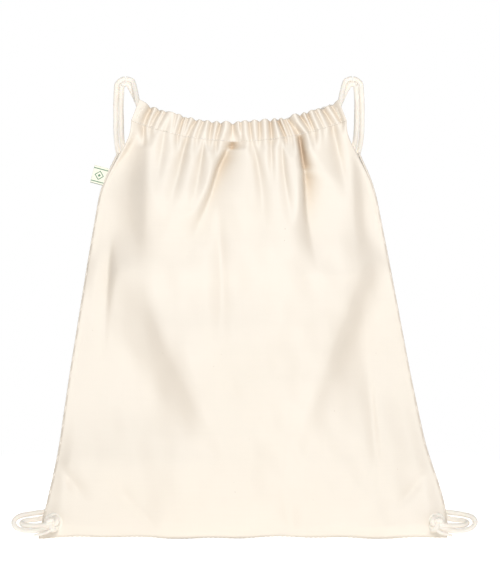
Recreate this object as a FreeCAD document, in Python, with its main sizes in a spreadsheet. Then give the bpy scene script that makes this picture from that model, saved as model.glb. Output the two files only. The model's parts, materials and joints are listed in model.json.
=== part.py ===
import FreeCAD, Part
import math
import os
import Sketcher

# Drawstring backpack of plain cotton: two bellied panels, a hem casing along each top edge, two closed
# drawcords that are also the shoulder straps, a worked eyelet and a stopper knot at each bottom corner,
# and a small woven label in the left side seam.
#
# Frame, in millimetres: X to the viewer's right, Y away from the viewer (the wearer's side), Z up.
# The origin is the middle of the bottom edge, in the plane where the front and back panels meet.

Vector = FreeCAD.Vector

doc = FreeCAD.newDocument("drawstring_backpack")

# ---------------------------------------------------------------- driving dimensions

# The bag's outline at seven levels, from the bottom edge to the rim: height, half width between the
# side seams, and how far each panel bellies out beyond its edge.
LEVELS = {
    "foot": (0.0, 193.0, 1.5),
    "heel": (35.0, 186.0, 6.0),
    "lower": (85.0, 172.0, 21.0),
    "belly": (160.0, 158.5, 30.0),
    "upper": (260.0, 141.0, 26.0),
    "neck": (330.0, 128.0, 18.0),
    "rim": (394.0, 98.0, 12.0),
}

DIMENSIONS = {
    "cloth": 1.0,  # cloth and its nap, as one layer
    "seam_gap": 0.6,  # half the gap between the panels at the seams
    "seam_width": 8.0,
    "seam_gauge": 1.0,
    "scoop_radius": 230.0,  # the gathered rim hangs between its corners as an arc
    "rim_low": 391.0,  # height of the rim at its lowest point
    "casing_half": 96.0,  # half the gathered mouth, corner to corner
    "casing_height": 19.0,
    "casing_depth": 14.0,
    "casing_middle": 13.0,  # casing centre to the middle plane, at the middle of the mouth
    "casing_corner": 8.0,  # the same at the corners
    "stitch_radius": 0.4,
    "tack_width": 2.0,
    "tack_gauge": 0.8,
    "cord_radius": 2.4,
    "cord_gap": 1.2,  # clearance where one length of cord hands over to the next
    "pair_offset": 2.5,  # each strand's centre from the centre of the pair
    "peak_out": 112.0,  # top of each shoulder strap
    "peak_back": 4.0,
    "peak_height": 427.0,
    "peak_bend": 6.5,  # radius of the fold at the peak, to the centre of the pair
    "strap_bow": 82.0,  # how near the slack strap comes to the middle of the back
    "strap_back": 29.0,
    "corner_out": 179.5,  # centre of each eyelet and its knot
    "corner_height": 14.5,
    "corner_back": 10.0,  # the strap's strands behind the corner
    "loop_out": 217.0,  # furthest point of the slack loop beside each corner
    "loop_outer": 8.2,  # half the height of the outer and the inner strand's turn
    "loop_inner": 2.8,
    "eyelet_bore": 4.6,
    "eyelet_rim": 9.4,
    "eyelet_half": 4.2,  # rim faces, from the middle plane
    "knot_width": 15.0,
    "knot_height": 16.4,
    "knot_depth": 12.0,
    "knot_front": 11.0,  # centre of the knot, in front of the middle plane
    "tail_length": 15.0,
    "label_width": 16.0,
    "label_height": 17.0,
    "label_gauge": 0.8,
    "label_out": 132.7,
    "label_level": 340.0,
    "label_tilt": 15.0,
    "label_seam": 4.0,
}


def make_sheet():
    """Puts every driving dimension in an aliased cell of one sheet."""
    cells = doc.addObject("Spreadsheet::Sheet", "dims")
    values = dict(DIMENSIONS)
    for name, (height, half, bulge) in LEVELS.items():
        values[f"{name}_level"] = height
        values[f"{name}_half"] = half
        values[f"{name}_bulge"] = bulge
    for row, (alias, value) in enumerate(values.items(), start=1):
        cells.set(f"A{row}", alias.replace("_", " "))
        cells.set(f"B{row}", str(value))
        cells.setAlias(f"B{row}", alias)
    doc.recompute()
    return cells


sheet = make_sheet()
sub_parts = []


def dim(alias):
    return float(sheet.get(alias))


# ---------------------------------------------------------------- helpers

LEFT, RIGHT = -1, 1
FRONT, BACK = -1, 1
SIDES = {"left": LEFT, "right": RIGHT}
FACES = {"front": FRONT, "back": BACK}

START, END, CENTRE = 1, 2, 3
ORIGIN_POINT = (-1, 1)
UPRIGHT_AXIS = -2


def new_body(label):
    body = doc.addObject("PartDesign::Body", label)
    body.Label = label
    sub_parts.append(body)
    return body


def new_sketch(body, role, name, offset=None):
    """A sketch on one of the body's origin planes, moved along its normal by a sheet expression."""
    plane = next(f for f in body.Origin.OriginFeatures if f.Role == role)
    sketch = body.newObject("Sketcher::SketchObject", name)
    sketch.AttachmentSupport = (plane, [""])
    sketch.MapMode = "FlatFace"
    if offset:
        sketch.setExpression(".AttachmentOffset.Base.z", offset)
    return sketch


def bind(sketch, name, constraint, expression):
    """Adds a named constraint whose value comes from the sheet."""
    index = sketch.addConstraint(constraint)
    sketch.renameConstraint(index, name)
    sketch.setExpression(f"Constraints.{name}", expression)


def add_feature(label, shape):
    """A sub-part whose shape comes from Part's own functions and the sheet's sizes."""
    feature = doc.addObject("Part::Feature", label)
    feature.Label = label
    feature.Shape = shape
    feature.Placement = shape.Placement
    sub_parts.append(feature)
    return feature


def spline(points):
    curve = Part.BSplineCurve()
    curve.interpolate(points)
    return curve


def ring_at_start(curve, radius):
    """A circle round the start of a curve and square to it."""
    edge = curve.toShape()
    start = edge.valueAt(edge.FirstParameter)
    return Part.Wire(Part.Circle(start, edge.tangentAt(edge.FirstParameter), radius).toShape())


def tube(curve, radius):
    """A round solid of one radius along a curve."""
    return Part.Wire(curve.toShape()).makePipeShell([ring_at_start(curve, radius)], True, False)


def arc_tube(arc, radius):
    """A round solid of one radius along a circular arc."""
    edge = arc.toShape()
    sweep = math.degrees(edge.LastParameter - edge.FirstParameter)
    return Part.Face(ring_at_start(arc, radius)).revolve(edge.Curve.Center, edge.Curve.Axis, sweep)


def mirrored(shape):
    return shape.mirror(Vector(0, 0, 0), Vector(1, 0, 0))


def both_sides(name, left_shape):
    """Adds the left piece and its mirror image on the right."""
    for side, hand in SIDES.items():
        add_feature(f"{side}_{name}", left_shape if hand == LEFT else mirrored(left_shape))


# ---------------------------------------------------------------- panels


def panel_section(body, name, face):
    """One level of a panel: a thin bow between the side seams, bellied out to its own side."""
    half = dim(f"{name}_half")
    bulge = dim(f"{name}_bulge")
    inner = dim("seam_gap")
    edge = inner + dim("cloth")
    sketch = new_sketch(body, "XY_Plane", f"{body.Label}_{name}", f"dims.{name}_level")

    def bow(near):
        """An arc from seam to seam whose middle stands out by the bulge."""
        left_end = Vector(-half, face * near, 0)
        right_end = Vector(half, face * near, 0)
        middle = Vector(0, face * (near + bulge), 0)
        return Part.Arc(left_end, middle, right_end)

    def seam_end(x):
        return Part.LineSegment(Vector(x, face * edge, 0), Vector(x, face * inner, 0))

    outer_arc = sketch.addGeometry(bow(edge))
    inner_arc = sketch.addGeometry(bow(inner))
    first = sketch.addGeometry(seam_end(-half))
    last = sketch.addGeometry(seam_end(half))
    # Sketcher stores an arc anticlockwise, so a bow that bulges to +Y starts at its right end.
    left_end, right_end = (START, END) if face == FRONT else (END, START)
    for arc, line_point in ((outer_arc, START), (inner_arc, END)):
        sketch.addConstraint(Sketcher.Constraint("Coincident", arc, left_end, first, line_point))
        sketch.addConstraint(Sketcher.Constraint("Coincident", arc, right_end, last, line_point))
    sketch.addConstraint(Sketcher.Constraint("Vertical", first))
    sketch.addConstraint(Sketcher.Constraint("Vertical", last))
    sketch.addConstraint(Sketcher.Constraint("Symmetric", first, START, last, START, UPRIGHT_AXIS))
    sketch.addConstraint(Sketcher.Constraint("Horizontal", first, END, last, END))
    span = Sketcher.Constraint("DistanceX", first, START, last, START, 2 * half)
    bind(sketch, "span", span, f"2 * dims.{name}_half")
    bind(sketch, "gauge", Sketcher.Constraint("Distance", first, dim("cloth")), "dims.cloth")
    upward = (first, END, *ORIGIN_POINT) if face == FRONT else (*ORIGIN_POINT, first, END)
    bind(sketch, "gap", Sketcher.Constraint("DistanceY", *upward, inner), "dims.seam_gap")
    radius = (half**2 + bulge**2) / (2 * bulge)
    formula = f"(dims.{name}_half ^ 2 + dims.{name}_bulge ^ 2) / (2 * dims.{name}_bulge)"
    bind(sketch, "outer_bow", Sketcher.Constraint("Radius", outer_arc, radius), formula)
    bind(sketch, "inner_bow", Sketcher.Constraint("Radius", inner_arc, radius), formula)
    return sketch


def through_pocket(body, sketch, name):
    """Cuts a sketch on the XZ plane through the body both ways."""
    doc.recompute()
    before = body.Shape.Volume
    pocket = body.newObject("PartDesign::Pocket", name)
    pocket.Profile = sketch
    pocket.Type = 1
    pocket.Midplane = True
    doc.recompute()
    if body.Shape.Volume >= before:
        raise RuntimeError(f"{name} cut nothing from {body.Label}")


def add_circle(sketch, name, centre, radius, radius_rule, out_rule, height_rule):
    """A circle whose radius and centre, measured from the sketch's origin, follow the sheet."""
    circle = sketch.addGeometry(Part.Circle(centre, Vector(0, 0, 1), radius))
    bind(sketch, f"{name}_radius", Sketcher.Constraint("Radius", circle, radius), radius_rule)
    if out_rule:
        ends = (circle, CENTRE, *ORIGIN_POINT) if centre.x < 0 else (*ORIGIN_POINT, circle, CENTRE)
        bind(sketch, f"{name}_out", Sketcher.Constraint("DistanceX", *ends, abs(centre.x)), out_rule)
    else:
        sketch.addConstraint(Sketcher.Constraint("PointOnObject", circle, CENTRE, UPRIGHT_AXIS))
    rise = Sketcher.Constraint("DistanceY", *ORIGIN_POINT, circle, CENTRE, centre.y)
    bind(sketch, f"{name}_height", rise, height_rule)


def panel(face_name, face):
    """A cotton panel: lofted, scooped along its gathered top edge, and holed for the two eyelets."""
    body = new_body(f"{face_name}_panel")
    sections = [panel_section(body, name, face) for name in LEVELS]
    shell = body.newObject("PartDesign::AdditiveLoft", "shell")
    shell.Profile = sections[0]
    shell.Sections = sections[1:]
    shell.Ruled = True
    scoop = new_sketch(body, "XZ_Plane", "scoop_outline")
    reach = dim("scoop_radius") + dim("casing_height") + 1.1
    middle = Vector(0, dim("rim_low") + dim("scoop_radius"), 0)
    reach_rule = "dims.scoop_radius + dims.casing_height + 1.1"
    add_circle(scoop, "rim", middle, reach, reach_rule, None, "dims.rim_low + dims.scoop_radius")
    through_pocket(body, scoop, "scoop")
    holes = new_sketch(body, "XZ_Plane", "eyelet_holes")
    for side, hand in SIDES.items():
        centre = Vector(hand * dim("corner_out"), dim("corner_height"), 0)
        radius = dim("eyelet_bore") + 1.7
        rule = "dims.eyelet_bore + 1.7"
        add_circle(holes, side, centre, radius, rule, "dims.corner_out", "dims.corner_height")
    through_pocket(body, holes, "eyelet_cut")
    return body


# ---------------------------------------------------------------- seams, casings and their stitching


def seam_strips():
    """The seam allowances and their thread, which close the gap between the panels."""
    gauge = dim("seam_gauge")
    width = dim("seam_width")
    inset = 1.0
    slope = (dim("foot_half") - dim("heel_half")) / dim("heel_level")
    clear_of_eyelet = dim("corner_out") - dim("eyelet_rim") - inset
    strip = doc.addObject("Part::Box", "bottom_seam")
    strip.Label = "bottom_seam"
    strip.setExpression("Length", "2 * (dims.corner_out - dims.eyelet_rim - 1)")
    strip.setExpression("Width", "dims.seam_gauge")
    strip.setExpression("Height", "dims.seam_width")
    strip.Placement.Base = Vector(-clear_of_eyelet, -gauge / 2, inset)
    sub_parts.append(strip)

    names = list(LEVELS)[1:]
    edge = [Vector(-dim(f"{n}_half"), -gauge / 2, dim(f"{n}_level")) for n in names[:-1]]
    top = dim("neck_level") + (dim("rim_level") - dim("neck_level")) / 2
    top_half = (dim("neck_half") + dim("rim_half")) / 2
    edge.append(Vector(-top_half, -gauge / 2, top))
    outer = [p + Vector(inset, 0, 0) for p in edge]
    inner = [p + Vector(inset + width, 0, 0) for p in reversed(edge)]
    outer[0] = outer[0] + Vector(slope, 0, 0)
    outline = Part.makePolygon(outer + inner + outer[:1])
    both_sides("side_seam", Part.Face(outline).extrude(Vector(0, gauge, 0)))


def rim_arc(face, drop, inward=0.0):
    """The gathered rim, lowered by drop: an arc that sags and stands out in the middle."""
    half = dim("casing_half") - inward
    centre_height = dim("rim_low") + dim("scoop_radius")
    reach = dim("scoop_radius") + drop
    corner_height = centre_height - math.sqrt(reach**2 - half**2)
    middle = Vector(0, face * dim("casing_middle"), centre_height - reach)
    ends = [Vector(hand * half, face * dim("casing_corner"), corner_height) for hand in (LEFT, RIGHT)]
    return Part.Arc(ends[0], middle, ends[1])


def upright_oval(curve, height, depth):
    """A rounded outline, height by depth, square to the start of a curve."""
    edge = curve.toShape()
    start = edge.valueAt(edge.FirstParameter)
    heading = edge.tangentAt(edge.FirstParameter)
    across = heading.cross(Vector(0, 0, 1)).normalize()
    upward = across.cross(heading).normalize()
    bend = depth / 2
    flat = height / 2 - bend
    right_low = start + across * bend - upward * flat
    right_high = start + across * bend + upward * flat
    left_low = start - across * bend - upward * flat
    left_high = start - across * bend + upward * flat
    top = start + upward * height / 2
    bottom = start - upward * height / 2
    edges = [
        Part.LineSegment(right_low, right_high).toShape(),
        Part.Arc(right_high, top, left_high).toShape(),
        Part.LineSegment(left_high, left_low).toShape(),
        Part.Arc(left_low, bottom, right_low).toShape(),
    ]
    return Part.Wire(edges)


def casing(face):
    """A hem tunnel, open at both ends, that follows the rim."""
    spine = rim_arc(face, dim("casing_height") / 2)
    wall = dim("cloth")
    outside = upright_oval(spine, dim("casing_height"), dim("casing_depth"))
    inside = upright_oval(spine, dim("casing_height") - 2 * wall, dim("casing_depth") - 2 * wall)
    path = Part.Wire(spine.toShape())
    return path.makePipeShell([outside], True, False).cut(path.makePipeShell([inside], True, False))


def casings():
    for face_name, face in FACES.items():
        add_feature(f"{face_name}_casing", casing(face))
        thread = rim_arc(face, dim("casing_height") + 0.55)
        add_feature(f"{face_name}_casing_stitching", arc_tube(thread, dim("stitch_radius")))


def bar_tacks():
    """A block of zigzag thread that locks each end of each casing."""
    inset = 6.0
    height = dim("casing_height") / 2
    for face_name, face in FACES.items():
        spine = rim_arc(face, dim("casing_height") / 2, inset)
        end = spine.toShape().valueAt(spine.toShape().FirstParameter)
        surface = abs(end.y) + dim("casing_depth") / 2 + 1.2
        near = surface if face == BACK else -surface - dim("tack_gauge")
        corner = Vector(end.x - dim("tack_width") / 2, near, end.z - height / 2)
        block = Part.makeBox(dim("tack_width"), dim("tack_gauge"), height, corner)
        both_sides(f"{face_name}_bar_tack", block)


# ---------------------------------------------------------------- drawcords


def rim_point(face, drop, share):
    """A point on the lowered rim, from the left corner at share 0 to the right corner at share 1."""
    edge = rim_arc(face, drop).toShape()
    first, last = edge.ParameterRange
    return edge.valueAt(first + (last - first) * share)


def casing_run(depth):
    """The left drawcord inside both casings: along the front, round the right corner, along the back.

    It leaves the casings high at its own corner and turns low at the other, where the other cord
    leaves. Where the two cross, depth keeps them apart across the tunnel.
    """
    climb = dim("cord_radius") + 0.4
    turn = 5.5

    def arc_along(face, shares):
        """An arc inside one casing, through its points at three shares of the rim."""
        points = []
        for share in shares:
            drop = dim("casing_height") / 2 + climb * (2 * share - 1)
            points.append(rim_point(face, drop, share) + Vector(0, depth, 0))
        return Part.Arc(*points)

    front = arc_along(FRONT, (0, 0.5, 1))
    back = arc_along(BACK, (1, 0.5, 0))
    leaving = front.toShape().tangentAt(front.toShape().LastParameter)
    returning = back.toShape().tangentAt(back.toShape().FirstParameter)
    front_end = front.toShape().valueAt(front.toShape().LastParameter)
    back_start = back.toShape().valueAt(back.toShape().FirstParameter)
    middle = (front_end + back_start) / 2
    reach = (back_start - front_end) / 2
    outward = Vector(1, 0, 0)
    corner = [front_end]
    for degrees in (45, 90, 135):
        angle = math.radians(degrees)
        corner.append(middle + outward * turn * math.sin(angle) - reach * math.cos(angle))
    corner.append(back_start)
    bend = Part.BSplineCurve()
    bend.interpolate(Points=corner, InitialTangent=leaving, FinalTangent=returning)
    runs = [arc_tube(front, dim("cord_radius")), arc_tube(back, dim("cord_radius"))]
    return tube(bend, dim("cord_radius")).fuse(runs)


def on_fold(peak, angle, radius):
    """A point on the fold at the peak, at an angle from straight up, towards +X if positive."""
    centre = peak - Vector(0, 0, dim("peak_bend"))
    return centre + Vector(radius * math.sin(angle), 0, radius * math.cos(angle))


def strap_line():
    """Centre of the left strap's pair of strands, from its peak down behind the bag to the corner."""
    peak = Vector(-dim("peak_out"), dim("peak_back"), dim("peak_height"))
    corner = Vector(-dim("corner_out"), dim("corner_back"), dim("corner_height"))
    bow = Vector(-dim("strap_bow"), dim("strap_back"), (peak.z + corner.z) / 2)
    bend = dim("peak_bend")
    fold = [on_fold(peak, -math.radians(angle), bend) for angle in (0, 30, 60, 90)]
    return [
        *fold,
        peak + Vector(-7.0, 4.0, -32.0),
        peak + Vector(-4.0, 12.0, -68.0),
        peak + (bow - peak) * 0.62 + Vector(0, 6.0, 0),
        bow,
        bow + (corner - bow) * 0.45 + Vector(0, 7.0, 0),
        corner + Vector(9.0, 7.0, 42.0),
        corner + Vector(0.5, 1.5, 12.0),
    ]


def strand_beside(points, offset):
    """A curve beside the line through some points, moved sideways in the upright plane by offset."""
    centre = spline(points)
    count = 30
    moved = []
    for step in range(count + 1):
        share = step / count
        parameter = centre.FirstParameter + (centre.LastParameter - centre.FirstParameter) * share
        heading = centre.tangent(parameter)[0]
        sideways = Vector(heading.z, 0, -heading.x).normalize()
        moved.append(centre.value(parameter) + sideways * offset)
    return spline(moved)


def peak_side(hand):
    """A block over one side of the peak and half the gap there, to trim the cord on the other side."""
    size = 30.0
    cut = -dim("peak_out") - hand * dim("cord_gap") / 2
    low = cut if hand == RIGHT else cut - size
    corner = Vector(low, dim("peak_back") - size / 2, dim("peak_height") - size / 2)
    return Part.makeBox(size, size, size, corner)


def shoulder_strap():
    """The strap's two strands of cord, side by side, from its peak to behind the corner."""
    top_right = peak_side(RIGHT)
    strands = []
    for offset in (-dim("pair_offset"), dim("pair_offset")):
        strand = tube(strand_beside(strap_line(), offset), dim("cord_radius"))
        strands.append(strand.cut(top_right).Solids[0])
    return Part.makeCompound(strands)


def bridge(depth):
    """The pair between the strap's peak and the left corner of the mouth, one strand from each casing."""
    peak = Vector(-dim("peak_out"), dim("peak_back"), dim("peak_height"))
    top_left = peak_side(LEFT)
    climb = dim("cord_radius") + 0.4
    strands = []
    for face, rise in ((FRONT, dim("pair_offset")), (BACK, -dim("pair_offset"))):
        mouth = rim_point(face, dim("casing_height") / 2 - climb, 0) + Vector(-1.5 * dim("cord_gap"), depth, 0)
        approach = mouth + Vector(-3.4, 0, 0.9)
        elbow = mouth + Vector(-5.8, 0, 4.6)
        fold = [on_fold(peak, math.radians(angle), dim("peak_bend") + rise) for angle in (0, 25, 50)]
        strand = tube(spline(fold + [elbow, approach, mouth]), dim("cord_radius"))
        strands.append(strand.cut(top_left).Solids[0])
    return Part.makeCompound(strands)


def knot_shape(grow):
    """An egg-shaped overhand knot, grown evenly by a clearance."""
    ball = Part.makeSphere(1.0)
    matrix = FreeCAD.Matrix()
    matrix.scale(dim("knot_width") / 2 + grow, dim("knot_depth") / 2 + grow, dim("knot_height") / 2 + grow)
    egg = ball.transformGeometry(matrix)
    egg.translate(Vector(-dim("corner_out"), -dim("knot_front"), dim("corner_height")))
    return egg


def corner_loop():
    """The strap's two strands go round the outside of the corner and come back to the knot on the front."""
    gap = dim("cord_gap")
    strands = []
    for half_height, short in ((dim("loop_outer"), 0.0), (dim("loop_inner"), 7.5)):
        middle = Vector(-dim("corner_out"), 0, dim("corner_height"))
        reach = dim("loop_out") - dim("corner_out") - short
        back = dim("corner_back")
        front = dim("knot_front")
        points = [
            middle + Vector(-4.0, back, half_height),
            middle + Vector(-reach * 0.55, back * 0.8, half_height),
            middle + Vector(-reach * 0.9, back * 0.35, half_height * 0.75),
            middle + Vector(-reach, 0, 0),
            middle + Vector(-reach * 0.9, -front * 0.35, -half_height * 0.75),
            middle + Vector(-reach * 0.55, -front * 0.8, -half_height),
            middle + Vector(0, -front, -half_height * 0.6),
        ]
        strands.append(tube(spline(points), dim("cord_radius")).cut(knot_shape(gap)))
    return Part.makeCompound([s.Solids[0] for s in strands])


def eyelet():
    """A worked eyelet: a thread-bound barrel with a rim on each face of the corner."""
    bore = dim("eyelet_bore")
    rim = dim("eyelet_rim")
    half = dim("eyelet_half")
    lip = 1.2
    barrel = bore + 1.5
    outline = [
        Vector(bore, 0, -half),
        Vector(rim, 0, -half + lip / 2),
        Vector(rim, 0, -half + lip),
        Vector(barrel, 0, -half + lip),
        Vector(barrel, 0, half - lip),
        Vector(rim, 0, half - lip),
        Vector(rim, 0, half - lip / 2),
        Vector(bore, 0, half),
        Vector(bore, 0, -half),
    ]
    ring = Part.Face(Part.makePolygon(outline)).revolve(Vector(0, 0, 0), Vector(0, 0, 1), 360)
    ring.rotate(Vector(0, 0, 0), Vector(1, 0, 0), 90)
    ring.translate(Vector(-dim("corner_out"), 0, dim("corner_height")))
    return ring


def eyelet_tie():
    """The length of cord that passes from the knot through the eyelet."""
    front = -dim("knot_front") + dim("knot_depth") / 2 - dim("cord_gap")
    length = dim("corner_back") - dim("cord_radius") - dim("cord_gap") - front
    start = Vector(-dim("corner_out"), front, dim("corner_height"))
    plug = Part.makeCylinder(dim("cord_radius"), length, start, Vector(0, 1, 0))
    return plug.cut(knot_shape(dim("cord_gap")))


def cord_tail():
    """The free end of the cord below the knot."""
    start = Vector(-dim("corner_out") - 2.0, -dim("knot_front") - 3.5, dim("corner_height") - 5.5)
    length = dim("tail_length")
    bend = start + Vector(-length * 0.4, -1.0, -length * 0.3)
    tip = start + Vector(-length, -1.0, -length * 0.4)
    points = [start, bend, tip]
    return tube(spline(points), dim("cord_radius") * 0.6).cut(knot_shape(dim("cord_gap")))


# ---------------------------------------------------------------- label


def label_pieces():
    """The woven label in the left side seam, and the stitched strip that holds its edge."""
    flap_gap = 0.5
    height = dim("label_height")
    gauge = dim("label_gauge")
    outer_edge = dim("label_width") / 2
    fold = outer_edge - dim("label_seam")
    spans = {"label": (-outer_edge, fold - flap_gap), "label_stitching": (fold + flap_gap, outer_edge)}
    for name, (low, high) in spans.items():
        block = Part.makeBox(high - low, gauge, height, Vector(low, -gauge / 2, -height / 2))
        block.rotate(Vector(0, 0, 0), Vector(0, 1, 0), dim("label_tilt"))
        block.translate(Vector(-dim("label_out"), 0, dim("label_level")))
        add_feature(name, block)


# ---------------------------------------------------------------- build, check and write

for face_name, face in FACES.items():
    panel(face_name, face)
seam_strips()
casings()
bar_tacks()
crossing = dim("pair_offset")
add_feature("left_drawcord_casing_run", casing_run(-crossing))
add_feature("right_drawcord_casing_run", mirrored(casing_run(crossing)))
add_feature("left_strap_bridge", bridge(-crossing))
add_feature("right_strap_bridge", mirrored(bridge(crossing)))
both_sides("shoulder_strap", shoulder_strap())
both_sides("corner_loop", corner_loop())
both_sides("eyelet", eyelet())
both_sides("stopper_knot", knot_shape(0.0))
both_sides("eyelet_tie", eyelet_tie())
both_sides("cord_tail", cord_tail())
label_pieces()
doc.recompute()

for item in doc.Objects:
    if "Invalid" in item.State or "Error" in item.State:
        raise RuntimeError(f"{item.Label} failed: {item.State}")
for item in sub_parts:
    if item.Shape.isNull() or not item.Shape.isValid():
        raise RuntimeError(f"{item.Label} has no valid shape")

os.makedirs("parts", exist_ok=True)
for item in sub_parts:
    item.Shape.exportStep(f"parts/{item.Label}.step")
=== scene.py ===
"""Looks of the drawstring backpack: calico cloth, braided cords, worked eyelets, stitching and label.

Lengths are metres in the row frame: +X to the viewer's right, +Y to the back, +Z up.
"""

import json
import math

import bpy
import numpy as np
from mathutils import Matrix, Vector


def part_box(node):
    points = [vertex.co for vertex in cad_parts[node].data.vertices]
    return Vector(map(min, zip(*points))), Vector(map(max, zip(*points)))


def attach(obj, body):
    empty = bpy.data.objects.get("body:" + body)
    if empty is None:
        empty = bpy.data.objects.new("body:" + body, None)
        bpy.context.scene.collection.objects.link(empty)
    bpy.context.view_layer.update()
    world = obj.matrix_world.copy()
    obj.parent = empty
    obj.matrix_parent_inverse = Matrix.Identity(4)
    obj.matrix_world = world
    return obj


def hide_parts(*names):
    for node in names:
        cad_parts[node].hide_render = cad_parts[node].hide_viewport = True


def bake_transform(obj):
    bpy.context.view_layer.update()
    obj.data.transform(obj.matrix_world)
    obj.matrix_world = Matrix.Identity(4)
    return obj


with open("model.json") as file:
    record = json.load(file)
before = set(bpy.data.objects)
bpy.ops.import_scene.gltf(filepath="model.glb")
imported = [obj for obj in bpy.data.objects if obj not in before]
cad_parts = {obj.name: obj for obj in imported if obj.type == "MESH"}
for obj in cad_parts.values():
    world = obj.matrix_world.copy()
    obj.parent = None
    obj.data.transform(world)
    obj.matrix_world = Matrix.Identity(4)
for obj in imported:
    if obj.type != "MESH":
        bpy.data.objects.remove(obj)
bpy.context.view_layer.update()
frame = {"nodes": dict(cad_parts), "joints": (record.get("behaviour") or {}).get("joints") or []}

MM = 0.001
LEFT, RIGHT = -1, 1
FRONT, BACK = -1, 1
SIDES = {"left": LEFT, "right": RIGHT}
FACES = {"front": FRONT, "back": BACK}
ROOT = "root"


# ---------------------------------------------------------------- sizes from the frame


def cad_outline():
    """Heights and half widths of the bag, from where the CAD panel's mesh edges cross each height."""
    mesh = frame["nodes"]["front_panel"].data
    co = np.empty(len(mesh.vertices) * 3)
    mesh.vertices.foreach_get("co", co)
    co = co.reshape(-1, 3)
    ends = np.empty(len(mesh.edges) * 2, int)
    mesh.edges.foreach_get("vertices", ends)
    first, last = co[ends[::2]], co[ends[1::2]]
    rise = last[:, 2] - first[:, 2]
    sloped = np.abs(rise) > 1e-6
    first, last, rise = first[sloped], last[sloped], rise[sloped]
    heights = np.linspace(co[:, 2].min() + 0.1 * MM, co[:, 2].max() - 0.1 * MM, 80)
    halves = []
    for height in heights:
        share = (height - first[:, 2]) / rise
        crossed = (share >= 0) & (share <= 1)
        halves.append((first[crossed, 0] + share[crossed] * (last[crossed, 0] - first[crossed, 0])).max())
    return heights, np.array(halves)


OUTLINE_Z, OUTLINE_X = cad_outline()
CASING_LO, CASING_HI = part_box("front_casing")
STITCH_LO, STITCH_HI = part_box("front_casing_stitching")
KNOT_LO, KNOT_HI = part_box("left_stopper_knot")
EYELET_LO, EYELET_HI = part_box("left_eyelet")
STRAP_LO, STRAP_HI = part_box("left_shoulder_strap")
BRIDGE_LO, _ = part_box("left_strap_bridge")
LOOP_LO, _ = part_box("left_corner_loop")
TIE_LO, TIE_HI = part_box("left_eyelet_tie")
TACK_LO, TACK_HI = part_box("left_front_bar_tack")
_, SEAM_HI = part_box("left_side_seam")

CORD_R = (TIE_HI.x - TIE_LO.x) / 2
PAIR = 1.04 * CORD_R  # each strand's centre from the centre of its pair
MOUTH_HALF = CASING_HI.x
CASING_H = 2 * (TACK_HI.z - TACK_LO.z)
RIM_LOW = CASING_LO.z + CASING_H
RIM_RISE = CASING_HI.z - RIM_LOW
CASING_MIDDLE = -STITCH_LO.y  # the casing's middle stands this far out at the middle of the mouth
CASING_CORNER = -STITCH_HI.y  # and this far at its corners
CORNER = Vector(((KNOT_LO.x + KNOT_HI.x) / 2, 0, (KNOT_LO.z + KNOT_HI.z) / 2))
PEAK_BEND = 6.2 * MM  # radius of the fold at the strap's peak, to the centre of the pair
PEAK_IN, PEAK_UP = 5.0 * MM, 2.5 * MM  # the soft fold stands this far in and up from the CAD's
PEAK = Vector((BRIDGE_LO.x + PEAK_IN, STRAP_LO.y + CORD_R, STRAP_HI.z - PAIR - CORD_R + PEAK_UP))
CASING_OVERLAP = 1.0 * MM  # the cloth casing reaches this far past the CAD's corner
TACK_INSET = 3.5 * MM
CLOTH = 0.5 * MM


def smoothstep(x, low, high):
    t = np.clip((x - low) / (high - low), 0, 1)
    return t * t * (3 - 2 * t)


def half_width(z):
    """Half the bag's width at a height, with the CAD's corners rounded off."""
    spread = 12 * MM
    total = 0
    for offset in (-1.0, -0.5, 0.0, 0.5, 1.0):
        total = total + np.interp(np.asarray(z) + offset * spread, OUTLINE_Z, OUTLINE_X)
    return total / 5


def rim_height(x):
    """The gathered rim sags between its corners."""
    return RIM_LOW + RIM_RISE * (np.asarray(x) / MOUTH_HALF) ** 2


LEAN_LEVELS = np.array([0, 15, 32, 54, 66, 88, 111, 156, 257, 325, 390, 430]) * MM
LEAN = np.array([0, 1.5, 2.4, 1.9, 1.0, -0.4, -1.4, -2.8, -4.2, -5.0, -3.8, -3.8]) * MM


def lean(z):
    """The soft bag hangs a little out of true: the sideways shift at each height."""
    return np.interp(z, LEAN_LEVELS, LEAN)


# ---------------------------------------------------------------- share of the mouth corners' travel

GATHER_LOW, GATHER_HIGH = 0.130, 0.420


def draw_share(co):
    """Share of the mouth corners' travel at each point, -1 at the left corner to 1 at the right."""
    height = smoothstep(co[:, 2], GATHER_LOW, GATHER_HIGH)
    return np.clip((co[:, 0] - lean(co[:, 2])) / half_width(co[:, 2]), -1.15, 1.15) * height


def set_weights(obj, weights):
    """Bakes the piece's placement into its mesh; the weights are not used."""
    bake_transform(obj)


def vertices_of(obj):
    co = np.empty(len(obj.data.vertices) * 3)
    obj.data.vertices.foreach_get("co", co)
    return co.reshape(-1, 3)


def gather_with_mouth(obj):
    """Works out a weight at each vertex from the mouth corners' travel and passes it to set_weights."""
    set_weights(obj, 0.5 + 0.5 * draw_share(vertices_of(obj)))


# ---------------------------------------------------------------- mesh helpers


def add_mesh(name, co, faces, material, leaning=True):
    mesh = bpy.data.meshes.new(name)
    co = np.array([tuple(p) for p in co])
    if leaning:
        co[:, 0] += lean(co[:, 2])
    mesh.from_pydata(co.tolist(), [], faces)
    mesh.validate()
    mesh.polygons.foreach_set("use_smooth", [True] * len(mesh.polygons))
    mesh.materials.append(material)
    obj = bpy.data.objects.new(name, mesh)
    bpy.context.scene.collection.objects.link(obj)
    return obj


def grid_faces(rows, columns, closed=False):
    """Quads between neighbouring rows; closed joins each row's last vertex to its first."""
    faces = []
    for r in range(rows - 1):
        for c in range(columns if closed else columns - 1):
            d = (c + 1) % columns
            low, high = r * columns, (r + 1) * columns
            faces.append((low + c, low + d, high + d, high + c))
    return faces


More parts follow.
